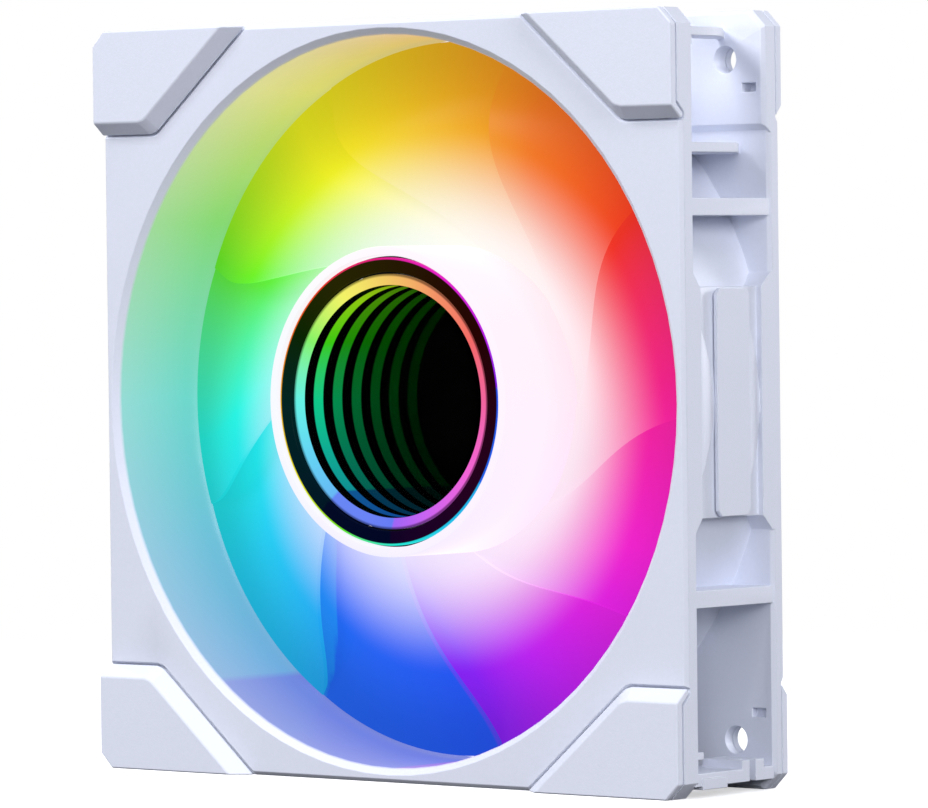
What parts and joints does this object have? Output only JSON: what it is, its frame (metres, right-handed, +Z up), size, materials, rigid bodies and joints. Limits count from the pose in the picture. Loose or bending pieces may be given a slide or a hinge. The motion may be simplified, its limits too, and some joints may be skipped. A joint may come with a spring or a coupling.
{
  "type": "case fan",
  "caption": "Square computer case fan with corner pads, a lit translucent impeller and an infinity mirror in its hub.",
  "frame": {"origin": "centre of the fan, on the rotor's axis, halfway between the front and rear pad faces", "axes": "+X right and +Z up as seen from the inlet side, +Y along the airflow from the inlet to the outlet"},
  "size_m": [0.12, 0.0274, 0.12],
  "materials": {
    "frame_plastic": "fine satin, moulded",
    "pad_rubber": "matte with a fine grain",
    "milky_plastic": "translucent milky, lit from inside",
    "diffuser": "translucent, lit from inside",
    "black_plastic": "gloss",
    "mirror": "polished",
    "two_way_mirror": "half-silvered, gloss",
    "steel": "turned",
    "ferrite": "sintered, dull",
    "brass": "turned",
    "bronze": "sintered, oiled",
    "copper": "enamelled wire",
    "nylon": "moulded",
    "board": "solder mask",
    "led": "clear dome on a white case"
  },
  "bodies": {
    "housing": {"frame": "frame_plastic", "front_pad_top_right": "pad_rubber", "front_pad_top_left": "pad_rubber", "front_pad_bottom_left": "pad_rubber", "front_pad_bottom_right": "pad_rubber", "rear_pad_top_right": "pad_rubber", "rear_pad_top_left": "pad_rubber", "rear_pad_bottom_left": "pad_rubber", "rear_pad_bottom_right": "pad_rubber", "side_plate_right": "frame_plastic", "side_plate_left": "frame_plastic", "rear_cover_disc": "frame_plastic", "bearing_tube": "brass", "bearing_sleeve": "bronze", "oil_seal": "nylon", "thrust_pad": "nylon", "stator_core": "steel", "winding_former_front": "nylon", "winding_former_rear": "nylon", "coil_1": "copper", "coil_2": "copper", "coil_3": "copper", "coil_4": "copper", "motor_board": "board", "driver_chip": "black_plastic", "led_1": "led", "led_2": "led", "led_3": "led", "led_4": "led", "led_5": "led", "led_6": "led", "led_7": "led", "led_8": "led"},
    "rotor": {"impeller": "milky_plastic", "light_ring": "diffuser", "lens_bezel": "black_plastic", "mirror_lens": "two_way_mirror", "back_mirror": "mirror", "rotor_yoke": "steel", "ring_magnet": "ferrite", "shaft": "steel", "shaft_clip": "steel"}
  },
  "joints": [
    {"name": "rotor_spin", "type": "hinge", "parent": "housing", "child": "rotor", "pos_m": [0, 0, 0], "axis": [0, -1, 0], "continuous": true}
  ]
}
